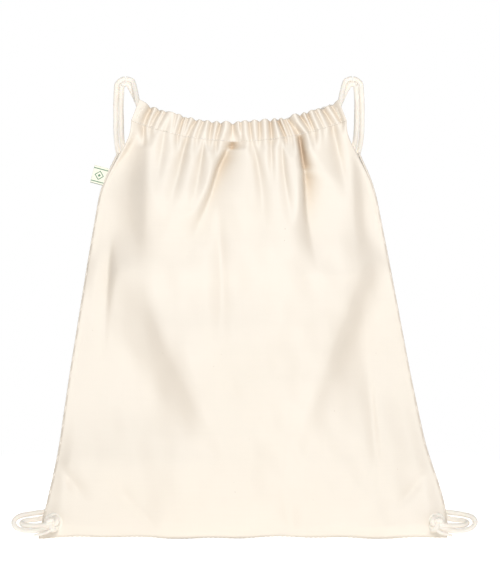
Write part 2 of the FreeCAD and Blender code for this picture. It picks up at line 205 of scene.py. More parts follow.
def smooth_line(points, step):
    """Evenly spaced points along a Catmull-Rom curve through the given ones."""
    pts = np.array([tuple(p) for p in points], float)
    pts = np.vstack([2 * pts[0] - pts[1], pts, 2 * pts[-1] - pts[-2]])
    dense = []
    for i in range(1, len(pts) - 2):
        t = np.linspace(0, 1, 40, endpoint=False)[:, None]
        a, b, c, d = pts[i - 1:i + 3]
        square = 2 * a - 5 * b + 4 * c - d
        cube = 3 * b - a - 3 * c + d
        dense.append(0.5 * (2 * b + (c - a) * t + square * t**2 + cube * t**3))
    dense = np.vstack(dense + [pts[-2][None]])
    run = np.concatenate([[0], np.cumsum(np.linalg.norm(np.diff(dense, axis=0), axis=1))])
    count = max(4, int(run[-1] / step))
    even = np.linspace(0, run[-1], count)
    return np.stack([np.interp(even, run, dense[:, k]) for k in range(3)], axis=1)


def frames_along(line):
    """Two directions square to a line at each point, carried along without twist."""
    tangents = np.gradient(line, axis=0)
    tangents /= np.linalg.norm(tangents, axis=1)[:, None]
    first = np.cross(tangents[0], [0.0, 1.0, 0.0])
    if np.linalg.norm(first) < 0.1:
        first = np.cross(tangents[0], [1.0, 0.0, 0.0])
    normal = first / np.linalg.norm(first)
    normals = []
    for t in tangents:
        normal = normal - t * (normal @ t)
        normal /= np.linalg.norm(normal)
        normals.append(normal)
    normals = np.array(normals)
    return normals, np.cross(tangents, normals)


def skin(line, radii, segments):
    """Vertices and faces of a capped tube; radii has one row per point and one column per segment."""
    normals, others = frames_along(line)
    angle = np.linspace(0, 2 * math.pi, segments, endpoint=False)[None, :, None]
    ring = np.cos(angle) * normals[:, None] + np.sin(angle) * others[:, None]
    co = (line[:, None] + ring * radii[..., None]).reshape(-1, 3)
    rows = len(line)
    faces = grid_faces(rows, segments, closed=True)
    co = np.vstack([co, line[:1], line[-1:]])
    first_cap, last_cap = rows * segments, rows * segments + 1
    last = (rows - 1) * segments
    for c in range(segments):
        d = (c + 1) % segments
        faces.append((first_cap, d, c))
        faces.append((last_cap, last + c, last + d))
    return co, faces


def join_parts(parts):
    """One vertex array and face list from several."""
    all_co, all_faces, base = [], [], 0
    for co, faces in parts:
        all_co.append(co)
        all_faces += [tuple(i + base for i in f) for f in faces]
        base += len(co)
    return np.vstack(all_co), all_faces


# ---------------------------------------------------------------- cords

BRAID_STRANDS = 4
BRAID_PITCH = 5.2 * MM
CORD_SEGMENTS = 20
CORD_STEP = 0.62 * MM


def cord_part(points, radius=CORD_R, taper_end=False):
    """A braided cord along some points: two families of strands cross and press into each other."""
    line = smooth_line(points, CORD_STEP)
    run = np.arange(len(line)) * CORD_STEP
    angle = np.linspace(0, 2 * math.pi, CORD_SEGMENTS, endpoint=False)
    turns = run[:, None] / BRAID_PITCH
    across = BRAID_STRANDS * angle[None] / (2 * math.pi)
    weave = np.abs(np.sin(math.pi * (across + turns)) * np.sin(math.pi * (across - turns)))
    drift = 0.02 * np.sin(run * 210.0 + points[0][0] * 900)[:, None]
    radii = radius * (0.975 + 0.040 * np.sqrt(weave) + drift)
    if taper_end:
        fray = np.linspace(0, 1, len(line))[:, None]
        radii = radii * (1 - 0.35 * fray**3)
    return skin(line, radii, CORD_SEGMENTS)


def fold_point(angle, radius):
    """A point on the strap's fold at its peak, at an angle from straight up."""
    return Vector((PEAK.x + radius * math.sin(angle), PEAK.y, PEAK.z - PEAK_BEND + radius * math.cos(angle)))


def beside(line, offset):
    """A line moved sideways, in the upright plane and square to its own heading."""
    heading = np.gradient(line, axis=0)
    sideways = np.stack([heading[:, 2], np.zeros(len(line)), -heading[:, 0]], axis=1)
    sideways /= np.linalg.norm(sideways, axis=1)[:, None]
    return line + sideways * offset


def strap_centre():
    """The centre of the left strap's pair, from its peak down behind the bag to the corner."""
    fold = [fold_point(-math.radians(a), PEAK_BEND) for a in (0, 30, 60, 90)]
    foot = Vector((CORNER.x, 10.0 * MM, CORNER.z))
    inner = STRAP_HI.x - CORD_R - PAIR
    bow = Vector((inner, STRAP_HI.y - CORD_R, (PEAK.z + foot.z) / 2))
    path = fold + [
        PEAK + Vector((-7.0, 4.0, -32.0)) * MM,
        PEAK + Vector((-4.0, 12.0, -68.0)) * MM,
        PEAK + (bow - PEAK) * 0.62 + Vector((0, 6.0 * MM, 0)),
        bow,
        bow + (foot - bow) * 0.45 + Vector((0, 7.0 * MM, 0)),
        foot + Vector((9.0, 7.0, 42.0)) * MM,
        foot + Vector((0.5, 1.5, 12.0)) * MM,
    ]
    return smooth_line(path, 1 * MM)


def mirror(points, side):
    flip = np.array([1.0 if side == LEFT else -1.0, 1.0, 1.0])
    return [Vector(np.array(p) * flip) for p in points]


def shoulder_strap(name, side, cord):
    centre = strap_centre()
    parts = []
    for offset in (-PAIR, PAIR):
        strand = beside(centre, offset)
        share = np.linspace(0, 1, len(strand))
        strand[:, 0] += 0.5 * MM * np.sin(share * 23 + offset * 900) * np.sin(math.pi * share)
        parts.append(cord_part(mirror(strand, side)))
    co, faces = join_parts(parts)
    obj = add_mesh(f"{name}_strap_cord", co, faces, cord)
    held, free = 8 * MM, 90 * MM
    above_foot = smoothstep(co[:, 2], CORNER.z + held, CORNER.z + free)
    below_peak = smoothstep(-co[:, 2], -PEAK.z + held, -PEAK.z + free)
    set_weights(obj, above_foot * below_peak)
    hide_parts(f"{name}_shoulder_strap")


def strap_bridge(name, side, cord):
    """From the strap's peak down to the corner of the mouth, one strand from each casing."""
    depth = -PAIR if side == LEFT else PAIR
    parts, shares = [], []
    for face, rise in ((FRONT, PAIR), (BACK, -PAIR)):
        mouth = Vector((-MOUTH_HALF + 9.5 * MM, face * 7.0 * MM + depth, CASING_HI.z - 9.0 * MM))
        fold = [fold_point(math.radians(a), PEAK_BEND + rise) for a in (0, 25, 50)]
        approach = mouth + Vector((-4.0 * MM, 0, 5.5 * MM))
        halfway = (fold[-1] + approach) / 2 + Vector((0.4, face * 0.6, 0)) * MM
        points = mirror(fold + [halfway, approach, mouth], side)
        co, faces = cord_part(points)
        parts.append((co, faces))
        shares.append(smoothstep(-co[:, 2], -fold[0].z, -mouth.z))
    co, faces = join_parts(parts)
    obj = add_mesh(f"{name}_bridge_cord", co, faces, cord)
    corner = np.array([[side * MOUTH_HALF, 0, CASING_HI.z - 7 * MM]])
    share = np.concatenate(shares) * np.abs(draw_share(corner))[0]
    if side == LEFT:
        set_weights(obj, share)
    else:
        set_weights(obj, 0.5 + 0.5 * share)
    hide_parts(f"{name}_strap_bridge")


def casing_cord(name, side, cord):
    """The cord's run through the front casing, round the far corner and back through the back casing."""
    reach = MOUTH_HALF - 10 * MM
    share = 0.40 if side == LEFT else 0.63
    radius = 0.80 * CORD_R

    def run(face):
        x = np.linspace(-reach, reach, 60)
        z = rim_height(x) - CASING_H * share
        y = casing_middle(x) - 0.9 * np.maximum(casing_crease(x * -side, z, face), 0)
        lowest = np.min([np.pad(y, 2, mode="edge")[k:k + len(y)] for k in range(5)], axis=0)
        even = np.convolve(np.pad(lowest, 1, mode="edge"), np.ones(3) / 3, mode="valid")
        return [Vector(p) for p in zip(x, face * even, z)]

    front, back = run(FRONT), run(BACK)[::-1]
    middle = (front[-1] + back[0]) / 2
    half = (back[0] - front[-1]) / 2
    turn = []
    for a in np.radians((35, 90, 145)):
        turn.append(middle + Vector((3.0 * MM * math.sin(a), 0, 0)) - half * math.cos(a))
    co, faces = cord_part(mirror(front + turn + back, side), radius=radius)
    obj = add_mesh(f"{name}_casing_cord", co, faces, cord)
    gather_with_mouth(obj)
    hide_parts(f"{name}_drawcord_casing_run")


def corner_loop(name, side, cord):
    """The strap's two strands turn round the outside of the corner and come back to the knot."""
    reach = abs(LOOP_LO.x) - CORD_R - abs(CORNER.x)
    parts, weights = [], []
    for half_height, short, sag in ((8.0 * MM, 0.0, 0.0), (2.8 * MM, 7.5 * MM, 0.6 * MM)):
        out = reach - short
        points = [
            CORNER + Vector((-1.0 * MM, 9.5 * MM, half_height + 3 * MM)),
            CORNER + Vector((-10.0 * MM, 8.8 * MM, half_height + 1 * MM)),
            CORNER + Vector((-out * 0.55, 7.5 * MM, half_height * 0.97 - sag)),
            CORNER + Vector((-out * 0.88, 3.6 * MM, half_height * 0.66 - sag)),
            CORNER + Vector((-out, 0, -sag)),
            CORNER + Vector((-out * 0.88, -3.8 * MM, -half_height * 0.70 - sag)),
            CORNER + Vector((-out * 0.55, -8.0 * MM, -half_height * 0.98)),
            CORNER + Vector((-6.5 * MM, KNOT_LO.y * 0.68, -half_height * 0.62)),
            CORNER + Vector((-1.5 * MM, KNOT_LO.y * 0.66, -half_height * 0.30)),
        ]
        co, faces = cord_part(mirror(points, side))
        parts.append((co, faces))
        weights.append(smoothstep(-co[:, 1], -8 * MM, 9 * MM))
    co, faces = join_parts(parts)
    obj = add_mesh(f"{name}_loop_cord", co, faces, cord)
    set_weights(obj, np.concatenate(weights))
    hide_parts(f"{name}_corner_loop")


def stopper_knot(name, side, cord):
    """An overhand knot: the cord follows a trefoil pulled tight."""
    centre = Vector((CORNER.x, (KNOT_LO.y + KNOT_HI.y) / 2, CORNER.z))
    size = KNOT_HI - KNOT_LO
    turn = np.linspace(0, 2 * math.pi, 40, endpoint=False)
    x = (np.sin(turn) + 2 * np.sin(2 * turn)) / 3
    z = (np.cos(turn) - 2 * np.cos(2 * turn)) / 3
    y = -np.sin(3 * turn)
    tilt = math.radians(24)
    out, deep, high = (extent / 2 - CORD_R for extent in size)
    points = []
    for a, b, c in zip(x, y, z):
        across = a * math.cos(tilt) - c * math.sin(tilt)
        up = a * math.sin(tilt) + c * math.cos(tilt)
        points.append(centre + Vector((across * out, b * deep * 0.62, up * high)))
    points += points[:2]
    co, faces = cord_part(mirror(points, side), radius=1.06 * CORD_R)
    obj = add_mesh(f"{name}_knot_cord", co, faces, cord)
    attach(obj, f"{name}_knot")
    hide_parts(f"{name}_stopper_knot")


def eyelet_tie(name, side, cord):
    """The cord that passes from the knot through the eyelet, and hooks up to the pair behind."""
    points = [
        Vector((CORNER.x, TIE_LO.y - 1.0 * MM, CORNER.z)),
        Vector((CORNER.x, 0, CORNER.z)),
        Vector((CORNER.x, TIE_HI.y - 1.5 * MM, CORNER.z)),
        Vector((CORNER.x + 1.0 * MM, TIE_HI.y + 0.5 * MM, CORNER.z - 2.0 * MM)),
    ]
    co, faces = cord_part(mirror(points, side), radius=0.94 * CORD_R)
    obj = add_mesh(f"{name}_tie_cord", co, faces, cord)
    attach(obj, f"{name}_knot")
    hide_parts(f"{name}_eyelet_tie")


def cord_tail(name, side, cord):
    """The cut end of the cord below the knot, a little frayed."""
    tail_lo, tail_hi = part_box("left_cord_tail")
    y = (tail_lo.y + tail_hi.y) / 2
    points = [
        Vector((CORNER.x + 1.0 * MM, y + 2.5 * MM, CORNER.z - 4.0 * MM)),
        Vector((CORNER.x - 4.5 * MM, y, CORNER.z - 8.2 * MM)),
        Vector((CORNER.x - 10.0 * MM, y, tail_lo.z + 3.2 * MM)),
        Vector((tail_lo.x + 1.0 * MM, y, tail_lo.z + 1.6 * MM)),
    ]
    co, faces = cord_part(mirror(points, side), radius=0.66 * CORD_R, taper_end=True)
    obj = add_mesh(f"{name}_tail_cord", co, faces, cord)
    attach(obj, f"{name}_knot")
    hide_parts(f"{name}_cord_tail")


# ---------------------------------------------------------------- cloth shape

# Folds run down the cloth through (x, z) points in millimetres. Each is deepest along its line, and
# `left` and `right` say how far it takes to recover on each side. A fold with `turn` is a ridge
# instead: the cloth stays level on one side of the line and falls away on the other.
FRONT_FOLDS = [
    # deep tuck near the middle of the mouth, opening down to the left
    dict(path=[(-10, 386), (-9.3, 373), (-10.5, 365)],
         depth=(6, 20, 18), left=(1.6, 5, 5), right=(1.6, 6, 6)),
    dict(path=[(-10.5, 367), (-20, 356), (-25, 340), (-31, 318), (-43, 288), (-54, 250)],
         depth=(18, 14, 12, 9, 5, 0), left=(5, 2.4, 2.0, 3.4, 9, 16), right=(6, 11, 16, 20, 26, 30)),
    dict(path=[(-25, 330), (-22, 290), (-19, 230), (-21, 150)],
         depth=(0, 5, 4.6, 0), left=(7, 8, 10, 12), right=(7, 8, 10, 12)),
    # long crease right of the middle: its left lip hangs straight and the hollow widens to the right
    dict(path=[(50.5, 388), (52.8, 378), (54.5, 364), (57, 345)],
         depth=(6, 17, 16, 16), left=(1.4, 2.6, 1.6, 1.5), right=(1.8, 4, 3, 7)),
    dict(path=[(57, 347), (58.5, 330), (59.5, 308), (64, 280), (74, 245)],
         depth=(16, 16, 13, 7, 0), left=(1.5, 1.8, 3.0, 8, 14), right=(7, 14, 22, 32, 38)),
    # turn of the cloth towards each side, below the corners of the mouth
    dict(path=[(-92, 406), (-93, 386), (-93, 368)],
         depth=(5, 9, 6), left=(2.0, 3, 7), right=(1.8, 2.6, 4)),
    dict(path=[(-91, 384), (-91.5, 345), (-92, 300), (-94, 250)],
         depth=(8, 14, 15, 0), left=(18, 21, 24, 26), right=(2, 2, 2, 3), turn=True),
    dict(path=[(104, 380), (105, 340), (105.5, 300), (107, 250)],
         depth=(4, 12, 16, 0), left=(2, 2, 2, 3), right=(16, 18, 22, 24), turn=True),
    dict(path=[(84, 396), (87, 372), (92, 350), (98, 312)],
         depth=(4, 6.5, 5.5, 0), left=(3, 7, 10, 11), right=(2.6, 4, 5, 8)),
    # softer gathers between them
    dict(path=[(-50, 384), (-55, 365), (-62, 335), (-74, 292)],
         depth=(5, 6.5, 5, 0), left=(2.6, 5, 9, 12), right=(2, 3.6, 6, 10)),
    dict(path=[(-36, 380), (-38, 360), (-43, 330), (-51, 296)],
         depth=(3, 5, 4, 0), left=(2, 4, 7, 9), right=(2, 3, 6, 9)),
    dict(path=[(7, 380), (13, 356), (18, 326), (20, 278)],
         depth=(3, 6, 5, 0), left=(3, 5, 7, 10), right=(3, 5, 7, 10)),
    dict(path=[(36, 376), (38, 345), (42, 318), (46, 286)],
         depth=(3, 5, 4, 0), left=(3, 5, 7, 9), right=(2, 3, 5, 8)),
    dict(path=[(26, 376), (27, 350), (28, 322)],
         depth=(4, 3.6, 0), left=(2, 4, 7), right=(2, 4, 7)),
    dict(path=[(-72, 392), (-76, 362), (-82, 318)],
         depth=(3, 5, 0), left=(3, 6, 9), right=(3, 6, 9)),
    # broad falls of the body
    dict(path=[(-96, 250), (-86, 212), (-70, 172), (-46, 128), (-24, 92), (-10, 60)],
         depth=(0, 11, 17, 13, 5, 0), left=(24, 28, 32, 34, 34, 34), right=(3, 3, 3, 4, 6, 8), turn=True),
    dict(path=[(118, 272), (108, 238), (90, 188), (70, 136), (56, 96), (48, 64)],
         depth=(0, 11, 16, 12, 5, 0), left=(3, 3, 3, 4, 6, 8), right=(22, 26, 30, 32, 32, 32), turn=True),
    dict(path=[(112, 225), (117, 172), (121, 120), (127, 50)],
         depth=(0, 9, 10, 0), left=(16, 14, 12, 12), right=(6, 5, 5, 8)),
    dict(path=[(-122, 300), (-126, 255), (-130, 195), (-138, 95)],
         depth=(0, 10, 11, 0), left=(13, 12, 12, 12), right=(4, 4, 4, 8)),
    dict(path=[(-176, 76), (-161, 51), (-145, 30)],
         depth=(0, 6, 0), left=(5, 4, 6), right=(8, 7, 9)),
    dict(path=[(178, 70), (161, 46), (143, 26)],
         depth=(0, 5.6, 0), left=(8, 7, 9), right=(5, 4, 6)),
    dict(path=[(-130, 66), (-108, 34), (-84, 10)],
         depth=(0, 3.4, 2.4), left=(11, 9, 7), right=(10, 9, 7)),
    dict(path=[(36, 52), (44, 20), (47, 4)],
         depth=(0, 2.8, 2.2), left=(11, 9, 6), right=(11, 9, 6)),
]

# Creases pinched by the gathered rim: x at the rim, x at the stitch line and depth, in millimetres.
FRONT_CREASES = [
    (-93, -94, 5.5), (-84, -87, 4.6), (-78, -81, 2.4), (-67, -66, 1.4), (-59.5, -61, 4.4), (-55.5, -56, 3.2),
    (-47, -52, 5.2), (-39.5, -43, 3.6), (-31, -31.5, 4.6), (-22, -25, 4.6), (-10, -9, 5.4), (-2, -1, 2.2),
    (7, 8, 2.8), (17, 16, 3.2), (28, 27, 4.6), (35.5, 40, 5.2), (42, 45, 4.6), (46, 52, 5.6), (58, 64, 4.2),
    (65, 67, 3.8), (73, 76, 2.4), (81, 84, 4.6), (90, 93, 2.8),
]


def back_creases():
    random = np.random.default_rng(29)
    creases, x = [], -94.0
    while x < 94:
        creases.append((x, x + random.uniform(-3, 3), random.uniform(2.4, 5.6)))
        x += random.uniform(5.5, 12.5)
    return creases


def rim_folds(creases, seed):
    """Each crease runs from over the rim, across the casing and its stitching, and dies out in the panel."""
    random = np.random.default_rng(seed)
    folds = []
    for top, low, depth in creases:
        high = 1000 * float(rim_height(top * MM))
        foot = 1000 * float(rim_height(low * MM) - CASING_H)
        reach = random.uniform(8, 26)
        width = random.uniform(1.5, 2.4)
        folds.append(dict(
            path=[(top, high + 6), (top, high - 1), (low, foot), (low + 0.3 * (low - top), foot - reach)],
            depth=(depth * 1.5, depth * 1.9, depth * 1.6, 0),
            left=(width, width, width * 1.4, width * 3),
            right=(width, width, width * 1.6, width * 3)))
    return folds


def back_folds():
    """The back isn't seen from the front: its long folds fall at random below the rim."""
    random = np.random.default_rng(17)
    folds = []
    for x in np.linspace(-84, 84, 11):
        top = x + random.uniform(-5, 5)
        length = random.uniform(40, 160)
        spread = 1 + 0.0040 * length
        high = 1000 * float(rim_height(top * MM) - CASING_H)
        depth = random.uniform(3.0, 8.0)
        path = [
            (top, high + 4),
            (top * (1 + 0.3 * (spread - 1)), high - 0.25 * length),
            (top * spread, high - length),
        ]
        folds.append(dict(path=path, depth=(depth * 0.6, depth, 0),
                          left=(1.8, 3 + 0.03 * length, 12), right=(1.8, 3 + 0.05 * length, 16)))
    falls = ((-120, 60, 260, 8, 26), (-30, 80, 250, 5, 16), (70, 100, 260, 7, 22), (128, 50, 240, 8, 24))
    for x, low, high, depth, spread in falls:
        folds.append(dict(path=[(x * 0.85, high), (x * 0.95, (low + high) / 2), (x * 1.05, low)],
                          depth=(0, depth, 0), left=(spread,) * 3, right=(spread * 0.4,) * 3))
    return folds


def fold_profile(away, left, right, turn):
    """Depth of one fold, 0 to 1, at distances from its line."""
    share = np.where(away < 0, -away / left, away / right)
    if not turn:
        return np.exp(-(np.sqrt(share**2 + 0.10) - 0.316))
    falls_left = left > right
    ahead = np.where(falls_left, -away, away)
    width = np.maximum(left, right)
    soft = 0.5 * (ahead + np.sqrt(ahead**2 + (0.22 * width) ** 2)) / width
    recover = 3.2
    peak = 0.487
    return (1 - np.exp(-soft)) * np.exp(-soft / recover) / peak


CROWD = 2.4  # where folds crowd together the deepest one counts, not their sum


def soft_interp(z, heights, values):
    """Linear interpolation with its corners rounded."""
    blur = 0.09 * (heights[-1] - heights[0])
    return sum(np.interp(z + shift * blur, heights, values) for shift in (-1, -0.5, 0, 0.5, 1)) / 5


def fold_depth(x, z, folds):
    """How far the folds push the cloth inward at points given in metres."""
    x_mm, z_mm = x / MM, z / MM
    total = np.zeros_like(x_mm)
    for fold in folds:
        path = np.array(fold["path"], float)[::-1]
        heights = path[:, 1]
        centre = soft_interp(z_mm, heights, path[:, 0])
        depth = soft_interp(z_mm, heights, fold["depth"][::-1])
        left = soft_interp(z_mm, heights, fold["left"][::-1])
        right = soft_interp(z_mm, heights, fold["right"][::-1])
        fade = max(3.0, 0.12 * (heights[-1] - heights[0]))
        inside = smoothstep(z_mm, heights[0] - fade, heights[0] + fade)
        inside = inside * smoothstep(-z_mm, -heights[-1] - fade, -heights[-1] + fade)
        total += (depth * inside * fold_profile(x_mm - centre, left, right, fold.get("turn"))) ** CROWD
    return total ** (1 / CROWD) * MM


def ripple(x, z, seed, sizes):
    """Smooth random undulation; sizes lists (wavelength, height) pairs in metres."""
    random = np.random.default_rng(seed)
    total = np.zeros_like(x)
    for wavelength, height in sizes:
        for _ in range(6):
            heading = random.uniform(0, math.pi)
            k = 2 * math.pi / wavelength * random.uniform(0.7, 1.4)
            phase = random.uniform(0, 2 * math.pi)
            total += height / 2.4 * np.sin(k * (x * math.cos(heading) + z * math.sin(heading)) + phase)
    return total


def casing_middle(x):
    """Distance of a casing's centre from the middle plane."""
    return CASING_MIDDLE - (CASING_MIDDLE - CASING_CORNER) * np.minimum(1, np.abs(x) / MOUTH_HALF) ** 2


FOLDS = {FRONT: FRONT_FOLDS + rim_folds(FRONT_CREASES, 3), BACK: back_folds() + rim_folds(back_creases(), 4)}
STITCH_PINCH = 4.7 * MM  # half the casing's depth where the stitching holds it
CASING_PUFF = 5.0 * MM  # and at its fullest


def creasing(x, z, face):
    """The folds and undulation of one face at final positions."""
    waves = ripple(x, z, 5 + face, [(0.16, 1.6 * MM), (0.07, 0.9 * MM), (0.03, 0.25 * MM)])
    return fold_depth(x, z, FOLDS[face]) - waves


def panel_depth(x, z):
    """How far a panel stands out from the middle plane, before its folds."""
    levels = np.array([0.0, 35.0, 85.0, 160.0, 260.0, 330.0, 370.0, 392.0]) * MM
    crest = np.array([2.5, 8.5, 21.0, 29.5, 28.5, 24.5, 19.0, 17.2]) * MM
    crest = np.interp(z - 12 * MM, levels, crest) / 2 + np.interp(z + 12 * MM, levels, crest) / 2
    opened = smoothstep(z, 0.345, 0.3915)
    edge = 1.0 * MM + opened * (CASING_CORNER + STITCH_PINCH - 1.0 * MM)
    across = np.clip(np.abs(x) / half_width(z), 0, 1)
    flatness = 2.3 + 1.6 * smoothstep(z, 0.20, 0.37)
    return edge + (crest - edge) * (1 - across**flatness)


PANEL_COLUMNS, PANEL_ROWS = 210, 190


def panel_sheet(face):
    """The outside of one panel, from the bottom edge to the casing's stitch line, as a grid of points."""
    u = np.linspace(-1, 1, PANEL_COLUMNS)
    u = u * (1 - 0.06 * (1 - np.abs(u)))
    t = 1 - (1 - np.linspace(0, 1, PANEL_ROWS)[:, None]) ** 1.25
    top_x = u * (MOUTH_HALF + CASING_OVERLAP)
    top_z = rim_height(top_x) - CASING_H
    bottom_z = 1.0 * MM + 0.7 * MM * np.sin(u * 7.0) - 0.5 * MM * np.cos(u * 19.0)
    z = bottom_z + (top_z - bottom_z) * t
    below = top_z + 0 * t - z
    x = half_width(z) * u
    x = x + (top_x - x) * np.exp(-(below / (22 * MM)) ** 1.5)
    y = panel_depth(x, z)
    held = casing_middle(x) + STITCH_PINCH
    y = y + (held - y) * np.exp(-below / (6 * MM))
    edge_fade = smoothstep(1 - np.abs(u), 0, 0.08) * smoothstep(t, 0, 0.03)
    near = np.exp(-below / (5 * MM))
    crease = creasing(x + lean(z), z, face) * edge_fade
    y = y - crease + near * (crease - casing_crease(x, z, face))
    spring = 0.7 * MM + 6.0 * MM * edge_fade * smoothstep(below, 0, 14 * MM)
    y = 0.5 * (y + np.sqrt(y**2 + spring**2))
    return np.stack([x, face * y, z], axis=-1)


def cloth_panel(face_name, face, calico):
    sheet = panel_sheet(face)
    co = sheet.reshape(-1, 3)
    faces = grid_faces(PANEL_ROWS, PANEL_COLUMNS)
    if face == BACK:
        faces = [f[::-1] for f in faces]
    obj = add_mesh(f"{face_name}_panel_cloth", co, faces, calico)
    thicken(obj, CLOTH)
    gather_with_mouth(obj)
    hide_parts(f"{face_name}_panel")


def thicken(obj, thickness, offset=-1):
    """Gives a sheet its thickness, as part of its mesh."""
    solid = obj.modifiers.new("thickness", "SOLIDIFY")
    solid.thickness = thickness
    solid.offset = offset
    apply_modifiers(obj)


def apply_modifiers(obj):
    depsgraph = bpy.context.evaluated_depsgraph_get()
    mesh = bpy.data.meshes.new_from_object(obj.evaluated_get(depsgraph))
    obj.modifiers.clear()
    obj.data = mesh


# ---------------------------------------------------------------- casings, seams and thread


CASING_GATHER = 0.50  # how far a crease pulls the rim down, as a share of its depth
# The casing's outline in section: share of its height, share of its fullness.
CASING_PROFILE = [
    (0.0, 0.0), (0.07, 0.30), (0.16, 0.62), (0.28, 0.88), (0.42, 1.0), (0.56, 1.0),
    (0.70, 0.93), (0.82, 0.76), (0.91, 0.52), (0.97, 0.22), (1.0, -0.35),
]


def casing_crease(x, z, face):
    """The creases as the casing takes them: the deepest folds flatten out against the cords inside."""
    limit = 9.0 * MM
    fade = smoothstep(1 - np.abs(x) / (MOUTH_HALF + CASING_OVERLAP), 0, 0.05)
    crease = creasing(x + lean(z), z, face) * fade
    return np.where(crease > 0, limit * np.tanh(crease / limit), crease)


def casing_tube(face_name, face, calico):
    """The hem tunnel: its outer face carries the panel's creases on over the rim and down inside."""
    columns = 330
    u = np.linspace(-1, 1, columns)[:, None]
    x = u * (MOUTH_HALF + CASING_OVERLAP)
    foot = rim_height(x) - CASING_H
    share, width = np.array(CASING_PROFILE).T[:, None, :]
    z = foot + CASING_H * share
    crease = casing_crease(x + 0 * z, z, face)
    z = z - CASING_GATHER * (crease - 1.6 * MM) * smoothstep(share, 0.5, 1.0)
    outer_y = casing_middle(x) + STITCH_PINCH + (CASING_PUFF - STITCH_PINCH) * width - crease
    inner_share, inner_width = share[:, -2::-1], width[:, -2::-1]
    inner_z = foot + CASING_H * inner_share * 0.985
    inner_crease = casing_crease(x + 0 * inner_z, inner_z, face)
    inner_y = casing_middle(x) - 1.0 * MM - (CASING_PUFF - 1.0 * MM) * np.maximum(inner_width, 0)
    inner_y = inner_y - 0.8 * inner_crease
    wide = narrowed(x, np.concatenate([share, inner_share], axis=1))
    y = np.concatenate([outer_y, inner_y], axis=1)
    inner_z = inner_z - CASING_GATHER * inner_crease * smoothstep(inner_share, 0.5, 1.0)
    high = np.concatenate([z, inner_z], axis=1)
    co = np.stack([wide, face * y, high], axis=-1).reshape(-1, 3)
    faces = grid_faces(columns, y.shape[1], closed=True)
    if face == FRONT:
        faces = [f[::-1] for f in faces]
    obj = add_mesh(f"{face_name}_casing_cloth", co, faces, calico)
    thicken(obj, CLOTH)
    gather_with_mouth(obj)
    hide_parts(f"{face_name}_casing")


def narrowed(x, share):
    """The casing's ends slope in towards the rim; share runs from its stitch line to its top."""
    return x * (1 - 0.075 * share)


def stitch_line(x, face):
    """Points on the outer face along a casing's stitch line."""
    z = rim_height(x) - CASING_H + 0.5 * MM
    y = casing_middle(x) + STITCH_PINCH + 0.12 * MM - casing_crease(x, z, face)
    return np.stack([x, face * y, z], axis=1)


def stitch_row(line, length, gap, radius):
    """Running stitches along a line: short lengths of thread that dip in at both ends."""
    parts = []
    run = np.concatenate([[0], np.cumsum(np.linalg.norm(np.diff(line, axis=0), axis=1))])
    start = 0.0
    while start + length < run[-1]:
        along = np.linspace(start, start + length, 6)
        pts = np.stack([np.interp(along, run, line[:, k]) for k in range(3)], axis=1)
        ends = np.array([0.5, 0.95, 1, 1, 0.95, 0.5])[:, None]
        parts.append(skin(pts, np.full((6, 6), radius) * ends, 6))
        start += length + gap
    return join_parts(parts)


def casing_stitching(face_name, face, thread):
    xs = np.linspace(-MOUTH_HALF + 1 * MM, MOUTH_HALF - 1 * MM, 700)
    co, faces = stitch_row(stitch_line(xs, face), 2.2 * MM, 0.7 * MM, 0.24 * MM)
    obj = add_mesh(f"{face_name}_casing_thread", co, faces, thread)
    gather_with_mouth(obj)
    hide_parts(f"{face_name}_casing_stitching")


def bar_tack(side_name, side, face_name, face, thread):
    """Close parallel stitches that lock the end of a casing."""
    node = f"{side_name}_{face_name}_bar_tack"
    lo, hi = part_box(node)
    parts = []
    for z in np.linspace(lo.z, hi.z, 15):
        x = side * (MOUTH_HALF - TACK_INSET) + np.linspace(-0.9, 0.9, 4) * MM
        y = casing_middle(x) + CASING_PUFF - casing_crease(x, z + 0 * x, face)
        share = (z - rim_height(x) + CASING_H) / CASING_H
        line = np.stack([narrowed(x, share), face * y, z + 0 * x], axis=1)
        parts.append(skin(line, np.full((4, 6), 0.24 * MM), 6))
    co, faces = join_parts(parts)
    obj = add_mesh(f"{node}_thread", co, faces, thread)
    gather_with_mouth(obj)
    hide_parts(node)


def side_seam(name, side, calico):
    """The seam's rolled edge between the panels, slightly puckered by its thread."""
    z = np.linspace(1.5 * MM, SEAM_HI.z, 260)
    x = side * (half_width(z) - 0.3 * MM)
    line = np.stack([x, 0.25 * MM * np.sin(z * 400), z], axis=1)
    segments = 10
    puckers = 1 + 0.12 * np.sin(z * 1500)[:, None] * np.ones((1, segments))
    co, faces = skin(line, 1.1 * MM * puckers, segments)
    obj = add_mesh(f"{name}_side_seam_cloth", co, faces, calico)
    gather_with_mouth(obj)
    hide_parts(f"{name}_side_seam")


def bottom_seam(calico):
    lo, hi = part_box("front_panel")
    x = np.linspace(lo.x + 1.0 * MM, hi.x - 1.0 * MM, 360)
    u = x / hi.x
    z = 1.1 * MM + 0.7 * MM * np.sin(u * 7.0) - 0.5 * MM * np.cos(u * 19.0)
    line = np.stack([x, 0.2 * MM * np.sin(x * 300), z], axis=1)
    segments = 10
    puckers = 1 + 0.12 * np.sin(x * 1400)[:, None] * np.ones((1, segments))
    co, faces = skin(line, 1.15 * MM * puckers, segments)
    obj = add_mesh("bottom_seam_cloth", co, faces, calico)
    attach(obj, ROOT)
    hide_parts("bottom_seam")


